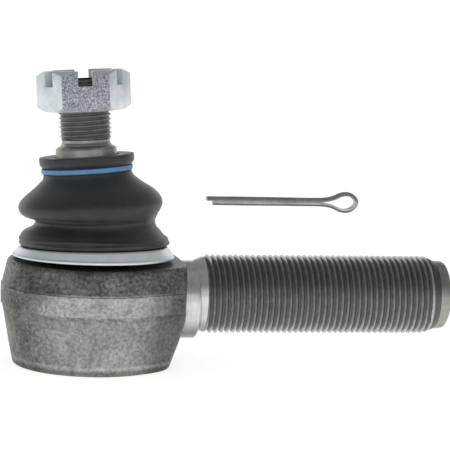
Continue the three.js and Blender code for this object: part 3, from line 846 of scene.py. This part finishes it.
def boot_shape(radius, angle, height):
    """The folds sit lower and deeper on the side the stud leans to, and follow the crimped ring."""
    heights, leaning, shank_side = zip(*BOOT_SIDES)
    half = (np.interp(height, heights, shank_side) - np.interp(height, heights, leaning)) / 2
    on_skin = smooth_share(radius, 17, 18) if height > 20 else smooth_share(radius, 20, 22)
    around = math.cos(angle)
    ridge = 0
    for level, wander, waves, phase, width, share in BOOT_WRINKLES:
        crest = level + wander * math.sin(waves * angle + phase)
        ridge += share * math.exp(-((height - crest) / width) ** 2)
    radius += half * around * (1 if height > 36 else on_skin) + WRINKLE_HEIGHT * ridge * on_skin
    foot = 1 - smooth_share(height, 17.5, 21)
    return radius, height + crimp(angle) * foot


def bend_with_stud(point):
    """The foot follows its clamp ring's tilt and the lip follows the stud, slightly cocked."""
    share = smooth_share(point.z, BEND_START, BEND_END)
    foot = CLAMP_SEAT - BALL
    point = Quaternion().slerp(CLAMP_TILT.to_quaternion(), 1 - share) @ (point - foot) + foot
    lip = Vector((0, 0, LIP_BASE))
    point = Matrix.Rotation(LIP_COCK * share, 3, LEAN_AXIS) @ (point - lip) + lip
    return tuple(Matrix.Rotation(REST_LEAN * share, 3, LEAN_AXIS) @ point + BALL)


def make_boot():
    """Turned upright from the foot up the skin, over the lip and down the lining, then bent."""
    skin = smooth_curve([((a + b) / 2, h) for h, a, b in BOOT_SIDES], 4)
    lining = [(r - BOOT_WALL, h) for r, h in reversed(skin[6:-6])]
    bore = taper_radius(BEND_END) + LIP_BORE_GAP
    lip = softened([
        (GROOVE_RADIUS, GROOVE_LOW, 0.1), (GROOVE_RADIUS, GROOVE_HIGH, 0.1),
        (LIP_RADIUS - 0.9, LIP_BASE + 0.1, 0.2), (LIP_RADIUS, LIP_BASE + 1.2, 1.2),
        (LIP_RADIUS, LIP_TOP, 0.4), (bore, LIP_TOP, 0.3), (bore, GROOVE_LOW - 0.2, 0),
    ])
    profile = [
        (FOOT_INNER, FOOT_LOW), (FOOT_OUTER, FOOT_LOW), (FOOT_OUTER, FOOT_HIGH),
        *skin, *lip, *lining, (FOOT_INNER, FOOT_HIGH + 0.1),
    ]
    vertices, faces = revolve(profile, 224, boot_shape)
    bent = [bend_with_stud(Vector(v)) for v in vertices]
    return mesh_object("boot_rubber_shell", bent, faces, RUBBER, crease=50)


# ---------------------------------------------------------------- split pin
def make_split_pin():
    """One half-round wire doubled back round its eye."""
    level = (PIN_LOW.z + PIN_HIGH.z) / 2
    eye_start, eye_tip = PIN_HIGH.x - PIN_EYE_LENGTH, PIN_HIGH.x - WIRE_RADIUS
    # Share of the eye's length, share of its half height
    rises = [(0.0, 0.03), (0.15, 0.12), (0.3, 0.3), (0.42, 0.55), (0.54, 0.85), (0.66, 1.03),
             (0.78, 1.02), (0.88, 0.82), (0.96, 0.45)]
    eye = [(eye_start + u * (eye_tip - eye_start), w * PIN_EYE_HALF) for u, w in rises]
    tip = PIN_LOW.x
    upper = [(tip, 0), (tip + 12, 0.05), (eye_start - 12, 0), (eye_start - 2, 0)]
    lower = [(eye_start - 2, 0), (eye_start - 12, 0), (tip + 14, -0.05), (tip + 2.1, 0)]
    route = [*upper, *eye, (eye_tip, 0.0), *[(x, -w) for x, w in reversed(eye)], *lower]
    line = [Vector((x, 0, z)) for x, z in smooth_curve(route, 10)]
    sweep = math.acos(WIRE_GAP / WIRE_RADIUS)
    turns = [sweep * (k / 7 - 1) for k in range(15)]
    section = [(WIRE_RADIUS * math.cos(turn), WIRE_RADIUS * math.sin(turn)) for turn in turns]
    vertices, faces = [], []
    for i, point in enumerate(line):
        heading = line[min(i + 1, len(line) - 1)] - line[max(i - 1, 0)]
        outward = Vector((-heading.z, 0, heading.x)).normalized()
        for out, side in section:
            vertices.append(tuple(point + outward * out + Vector((0, side, level))))
    count = len(section)
    for i in range(len(line) - 1):
        for k in range(count):
            a, b = i * count + k, i * count + (k + 1) % count
            faces.append((a, b, b + count, a + count))
    last = (len(line) - 1) * count
    faces += [tuple(range(count)), tuple(last + k for k in reversed(range(count)))]
    return mesh_object("pin_wire", vertices, faces, PIN_STEEL, crease=40)


# ---------------------------------------------------------------- closure in the base
def make_closure():
    """Dished plate whose middle stands on the ground and whose rim sits behind the rolled lip."""
    profile = softened([
        (0, CLOSURE_GROUND, 0), (12, CLOSURE_GROUND, 1.2), (14.5, CLOSURE_LOW, 1.2),
        (CLOSURE_RADIUS, CLOSURE_LOW, 0.3), (CLOSURE_RADIUS, CLOSURE_HIGH, 0.3),
        (13.8, CLOSURE_HIGH, 1.0), (11.3, CLOSURE_THICKNESS, 1.0), (0, CLOSURE_THICKNESS, 0),
    ])
    vertices, faces = revolve(profile, ROUND)
    return mesh_object("closure_disc", vertices, faces, PRESSED_STEEL, crease=40)


# ---------------------------------------------------------------- camera and studio
FLOOR_HALF = 30  # metres
FLOOR_GLOW = 0.75
PANEL_TOP, PANEL_EDGE = 0.3, 0.15  # sines of elevation
PANEL_FRONT, PANEL_BACK = 0.5, 0.9
PANEL_SIDE, PANEL_SIDE_EDGE = 0.45, 0.3  # how far off the object's long axis they begin
ROOM_LIGHT = 0.3


def make_camera():
    """Stands to the left of the joint, a little above it, and turns right to take in the shank."""
    data = bpy.data.cameras.new("camera")
    data.sensor_width = 36
    data.lens = 168.4
    camera = bpy.data.objects.new("camera", data)
    bpy.context.scene.collection.objects.link(camera)
    azimuth, distance, height = math.radians(-8.3), 0.697, 0.139
    heading, tilt, roll = math.radians(11.88), math.radians(7.44), math.radians(2.21)
    camera.matrix_world = (
        Matrix.Translation((math.sin(azimuth) * distance, -math.cos(azimuth) * distance, height))
        @ Matrix.Rotation(-heading, 4, "Z")
        @ Matrix.Rotation(math.pi / 2 - tilt, 4, "X")
        @ Matrix.Rotation(roll, 4, "Z")
    )
    bpy.context.scene.camera = camera


def make_floor():
    """A white sheet, lit from beneath as well so that only a faint shadow falls on it."""
    half = FLOOR_HALF
    mesh = bpy.data.meshes.new("floor")
    corners = [(-half, -half, 0), (half, -half, 0), (half, half, 0), (-half, half, 0)]
    mesh.from_pydata(corners, [], [(0, 1, 2, 3)])
    floor = bpy.data.objects.new("floor", mesh)
    n = Nodes("floor_paper")
    shade = n.span(n.grain(40), 0.3, 0.7, 0.9, 0.94)
    tone = n.blend(shade, 0.0, (1.0, 1.0, 1.0))
    glow = {
        "Emission Color": (1, 1, 1, 1), "Emission Strength": FLOOR_GLOW, "Specular IOR Level": 0.0,
    }
    mesh.materials.append(n.finish(tone, 0.9, n.bump(n.grain(1), 0.01, 0.1), 0.0, **glow))
    bpy.context.scene.collection.objects.link(floor)


def make_world():
    """Soft panels low down in front and behind, a dimmer room above and to the sides."""
    world = bpy.data.worlds.new("studio")
    world.use_nodes = True
    tree = world.node_tree

    def math_node(operation, first, second, clamp=False):
        node = tree.nodes.new("ShaderNodeMath")
        node.operation = operation
        node.use_clamp = clamp
        for value, socket in zip((first, second), node.inputs):
            if isinstance(value, (int, float)):
                socket.default_value = value
            else:
                tree.links.new(value, socket)
        return node.outputs["Value"]

    direction = tree.nodes.new("ShaderNodeTexCoord").outputs["Generated"]
    split = tree.nodes.new("ShaderNodeSeparateXYZ")
    tree.links.new(direction, split.inputs["Vector"])
    x, y, z = split.outputs
    low = math_node("DIVIDE", math_node("SUBTRACT", PANEL_TOP + PANEL_EDGE, z), PANEL_EDGE, True)
    sideways = math_node("ABSOLUTE", y, 0.0)
    front = math_node("DIVIDE", math_node("SUBTRACT", sideways, PANEL_SIDE), PANEL_SIDE_EDGE, True)
    behind = math_node("GREATER_THAN", y, 0.0)
    panel = math_node("MULTIPLY", low, front)
    glow = math_node("ADD", PANEL_FRONT, math_node("MULTIPLY", behind, PANEL_BACK - PANEL_FRONT))
    light = math_node("ADD", ROOM_LIGHT, math_node("MULTIPLY", panel, glow))
    background = tree.nodes["Background"]
    background.inputs["Color"].default_value = (0.96, 0.98, 1.0, 1)
    tree.links.new(light, background.inputs["Strength"])
    bpy.context.scene.world = world
    bpy.context.scene.view_settings.view_transform = "Standard"


# ---------------------------------------------------------------- the scene
make_camera()
make_floor()
make_world()

eye = make_eye()
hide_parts("housing")
for piece in (eye, make_neck(), make_collar(), make_shank_thread(), make_nose()):
    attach(piece, "housing_body")

closure = make_closure()
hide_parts("closure_plate")
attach(closure, "housing_body")

clamp = make_clamp_ring()
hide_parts("boot_clamp_ring")
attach(clamp, "housing_body")

stud = make_stud()
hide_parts("ball_stud")
for piece in (stud, make_stud_thread()):
    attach(piece, "stud")

nut = make_nut()
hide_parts("castle_nut")
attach(nut, "nut")

top_ring = make_top_ring()
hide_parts("boot_top_ring")
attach(top_ring, "boot_top")

boot = make_boot()
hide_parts("dust_boot")
# It bends from above the stud's ball to below the boot's lip
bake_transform(boot)

pin = make_split_pin()
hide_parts("split_pin")
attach(pin, "pin")

HIDDEN_FINISHES = {
    "upper_ball_seat": SEAT_PLASTIC,
    "lower_ball_seat": SEAT_PLASTIC,
    "pressure_plate": SPRING_STEEL,
    "disc_spring": SPRING_STEEL,
    "closure_seal_ring": RUBBER,
}
for node, finish in HIDDEN_FINISHES.items():
    inner = frame["nodes"][node]
    inner.data.materials.clear()
    inner.data.materials.append(finish)
